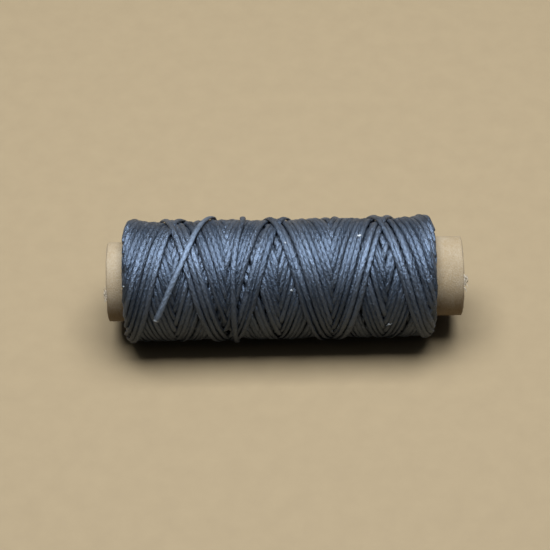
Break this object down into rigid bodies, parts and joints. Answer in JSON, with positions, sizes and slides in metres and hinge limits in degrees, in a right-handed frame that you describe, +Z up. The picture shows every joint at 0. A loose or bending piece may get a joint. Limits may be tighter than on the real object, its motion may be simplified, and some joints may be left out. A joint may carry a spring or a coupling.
{
  "type": "waxed thread spool",
  "caption": "Cross-wound package of flat waxed thread on a glued paper core, with a bore for a spindle and a loose tail that lifts.",
  "frame": {"origin": "on the core's axis, halfway between its two rims", "axes": "+X along the core, from the rim nearer the tail to the other rim; +Z up as the spool lies on its side; -Y towards the side where the tail hangs down"},
  "size_m": [0.076, 0.0287, 0.0271],
  "materials": {
    "core_liner": "matte",
    "core_body": "matte",
    "core_cover": "matte",
    "thread_inner": "satin",
    "thread_outer": "satin",
    "thread_tail": "satin"
  },
  "bodies": {
    "spool": {"core_liner_ply": "core_liner", "core_inner_ply": "core_body", "core_outer_ply": "core_body", "core_cover_ply": "core_cover", "thread_start_end": "thread_inner", "thread_layer_1": "thread_inner", "thread_layer_2": "thread_inner", "thread_layer_3": "thread_inner", "thread_layer_4": "thread_inner", "thread_layer_5": "thread_inner", "thread_layer_6": "thread_outer", "thread_layer_7": "thread_outer", "lock_wrap": "thread_outer"},
    "tail": {"thread_tail": "thread_tail"}
  },
  "joints": [
    {"name": "tail_lift", "type": "hinge", "parent": "spool", "child": "tail", "pos_m": [-0.0112, 0.01343, -0.00141], "axis": [-1, 0, 0], "range_deg": [0, 90]}
  ]
}
